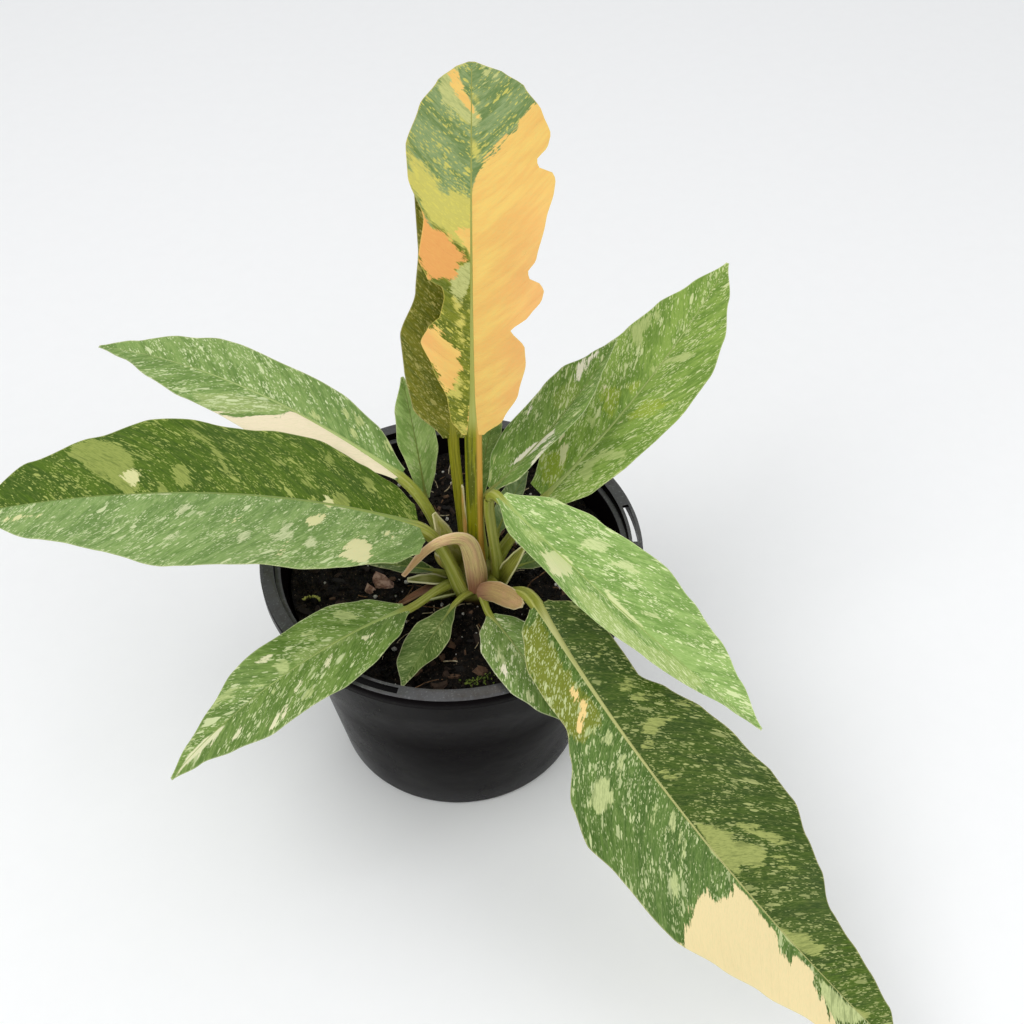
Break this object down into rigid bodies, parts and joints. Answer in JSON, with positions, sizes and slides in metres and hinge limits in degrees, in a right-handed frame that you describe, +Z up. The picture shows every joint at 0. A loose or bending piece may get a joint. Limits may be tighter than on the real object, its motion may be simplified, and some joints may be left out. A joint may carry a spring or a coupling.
{
  "type": "potted ring of fire philodendron",
  "caption": "Variegated, lobed philodendron with spreading and upright leaves on a short crown, growing in soil in a tapered round nursery pot.",
  "frame": {"origin": "centre of the pot's underside, on the surface the pot stands on", "axes": "+Z up, the biggest leaf hangs towards +X and -Y, the tall leaf leans towards +Y"},
  "size_m": [0.2971, 0.273, 0.286],
  "materials": {
    "pot_plastic": "glossy black moulded plastic",
    "potting_mix": "dark loose potting mix with bark and perlite",
    "crown_green": "smooth pale green stem",
    "blade_fire": "waxy leaf, yellow, apricot and green",
    "blade_dark": "waxy green leaf speckled cream",
    "blade_light": "waxy green leaf marbled pale",
    "sheath_green": "pale green papery sheath",
    "sheath_tan": "dry pinkish tan sheath"
  },
  "bodies": {
    "root": {"pot": "pot_plastic", "soil": "potting_mix", "crown": "crown_green", "leaf_fire": "blade_fire", "leaf_rear_upright": "blade_dark", "leaf_upper_left": "blade_light", "leaf_left": "blade_light", "leaf_lower_left": "blade_dark", "leaf_front_small": "blade_dark", "leaf_front_right_small": "blade_dark", "leaf_great": "blade_dark", "leaf_right": "blade_light", "leaf_upper_right": "blade_light", "leaf_upper_right_rear": "blade_dark", "leaf_back_left": "blade_dark", "leaf_back": "blade_dark", "leaf_right_rear_small": "blade_dark", "leaf_right_low_small": "blade_dark", "leaf_left_low_small": "blade_dark", "sheath_tall": "sheath_green", "sheath_middle": "sheath_green", "sheath_hooked": "sheath_tan", "sheath_tongue": "sheath_tan", "sheath_boat": "sheath_green", "sheath_low_left": "sheath_green", "sheath_wide_left": "sheath_green", "sheath_pointed_left": "sheath_green", "sheath_withered_left": "sheath_tan"}
  },
  "joints": []
}
